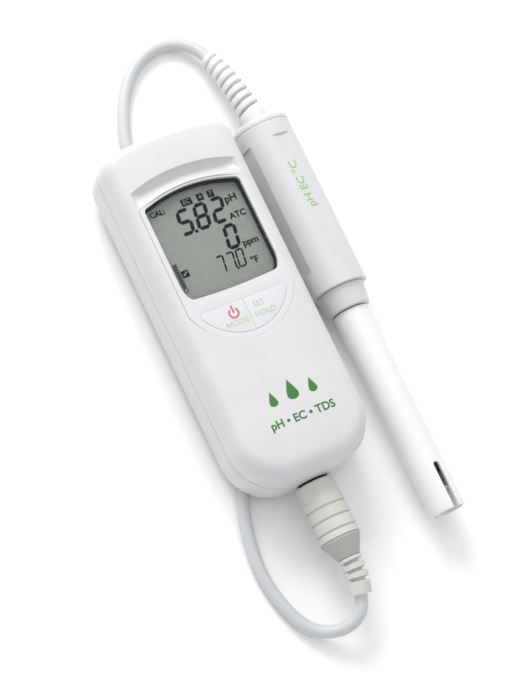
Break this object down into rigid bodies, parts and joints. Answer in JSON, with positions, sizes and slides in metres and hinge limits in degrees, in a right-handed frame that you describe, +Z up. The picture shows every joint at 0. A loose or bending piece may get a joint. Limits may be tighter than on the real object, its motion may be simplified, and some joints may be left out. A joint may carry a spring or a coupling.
{
  "type": "handheld ph, ec and tds meter with cabled probe",
  "caption": "White handheld water-quality meter lying on its cable, with a display, two keys and a cylindrical multi-sensor probe on a cable beside it.",
  "frame": {"origin": "bottom centre of the box round the meter's case and the probe, without the cable and its plug; z = 0 is the surface they lie on", "axes": "+Y along the case towards its head, +X across the case towards the probe, +Z up out of the display"},
  "size_m": [0.0922, 0.2543, 0.0355],
  "materials": {
    "shell": "satin white moulded plastic",
    "gloss": "polished white plastic",
    "key": "matt white key plastic",
    "window": "clear lens",
    "lcd": "grey-green liquid crystal glass",
    "black": "black moulded plastic",
    "rubber": "black rubber",
    "board": "green circuit board",
    "steel": "brushed steel",
    "brass": "gold-flashed brass",
    "battery": "sleeved steel cell",
    "plug": "warm off-white plastic",
    "cone": "grey plastic",
    "sleeve": "warm white plastic",
    "stem": "dark sensor body",
    "glass": "clear sensing glass",
    "ceramic": "porous ceramic",
    "cable": "pale grey cable jacket"
  },
  "bodies": {
    "meter": {"back_shell": "shell", "front_shell": "shell", "case_gasket": "rubber", "case_screw_1": "steel", "case_screw_2": "steel", "case_screw_3": "steel", "case_screw_4": "steel", "display_bezel": "gloss", "display_window": "window", "lcd_frame": "black", "lcd_panel": "lcd", "elastomer_strip_lower": "rubber", "elastomer_strip_upper": "rubber", "main_board": "board", "controller_chip": "black", "mode_switch": "steel", "set_switch": "steel", "battery_1": "battery", "battery_2": "battery", "battery_3": "battery", "contact_plate_lower": "steel", "contact_plate_upper": "steel", "battery_tray": "black", "sensor_socket": "black", "socket_insert": "brass", "sensor_cable_upper": "cable", "sensor_cable_lower": "cable"},
    "mode_button": {"mode_button": "key"},
    "set_button": {"set_button": "key"},
    "battery_door": {"battery_door": "shell"},
    "connector": {"connector_barrel": "plug", "connector_nose": "steel", "connector_insert": "black", "connector_cone": "cone", "connector_strain_relief": "plug"},
    "probe": {"probe_housing": "shell", "probe_cap": "shell", "amplifier_board": "board", "probe_strain_relief": "plug", "probe_collar": "shell", "probe_stem": "stem", "sleeve_seal": "rubber", "ph_bulb": "glass", "ec_electrode_1": "black", "ec_electrode_2": "black", "temperature_sensor": "steel", "reference_junction": "ceramic"},
    "probe_sleeve": {"probe_sleeve": "sleeve"}
  },
  "joints": [
    {"name": "mode_button_press", "type": "slide", "parent": "meter", "child": "mode_button", "axis": [0, 0, -1], "range_m": [0, 0.0006], "stiffness_N_per_m": 400},
    {"name": "set_button_press", "type": "slide", "parent": "meter", "child": "set_button", "axis": [0, 0, -1], "range_m": [0, 0.0006], "stiffness_N_per_m": 400},
    {"name": "battery_door_slide", "type": "slide", "parent": "meter", "child": "battery_door", "axis": [0, 1, 0], "range_m": [0, 0.055]},
    {"name": "connector_pull", "type": "slide", "parent": "meter", "child": "connector", "axis": [0, -1, 0], "range_m": [0, 0.012], "deforming": ["sensor_cable_lower"]},
    {"name": "probe_lift", "type": "slide", "parent": "meter", "child": "probe", "axis": [0, 0, 1], "range_m": [0, 0.03], "deforming": ["sensor_cable_upper"]},
    {"name": "sleeve_pull", "type": "slide", "parent": "probe", "child": "probe_sleeve", "axis": [0, -1, 0], "range_m": [0, 0.09]}
  ]
}
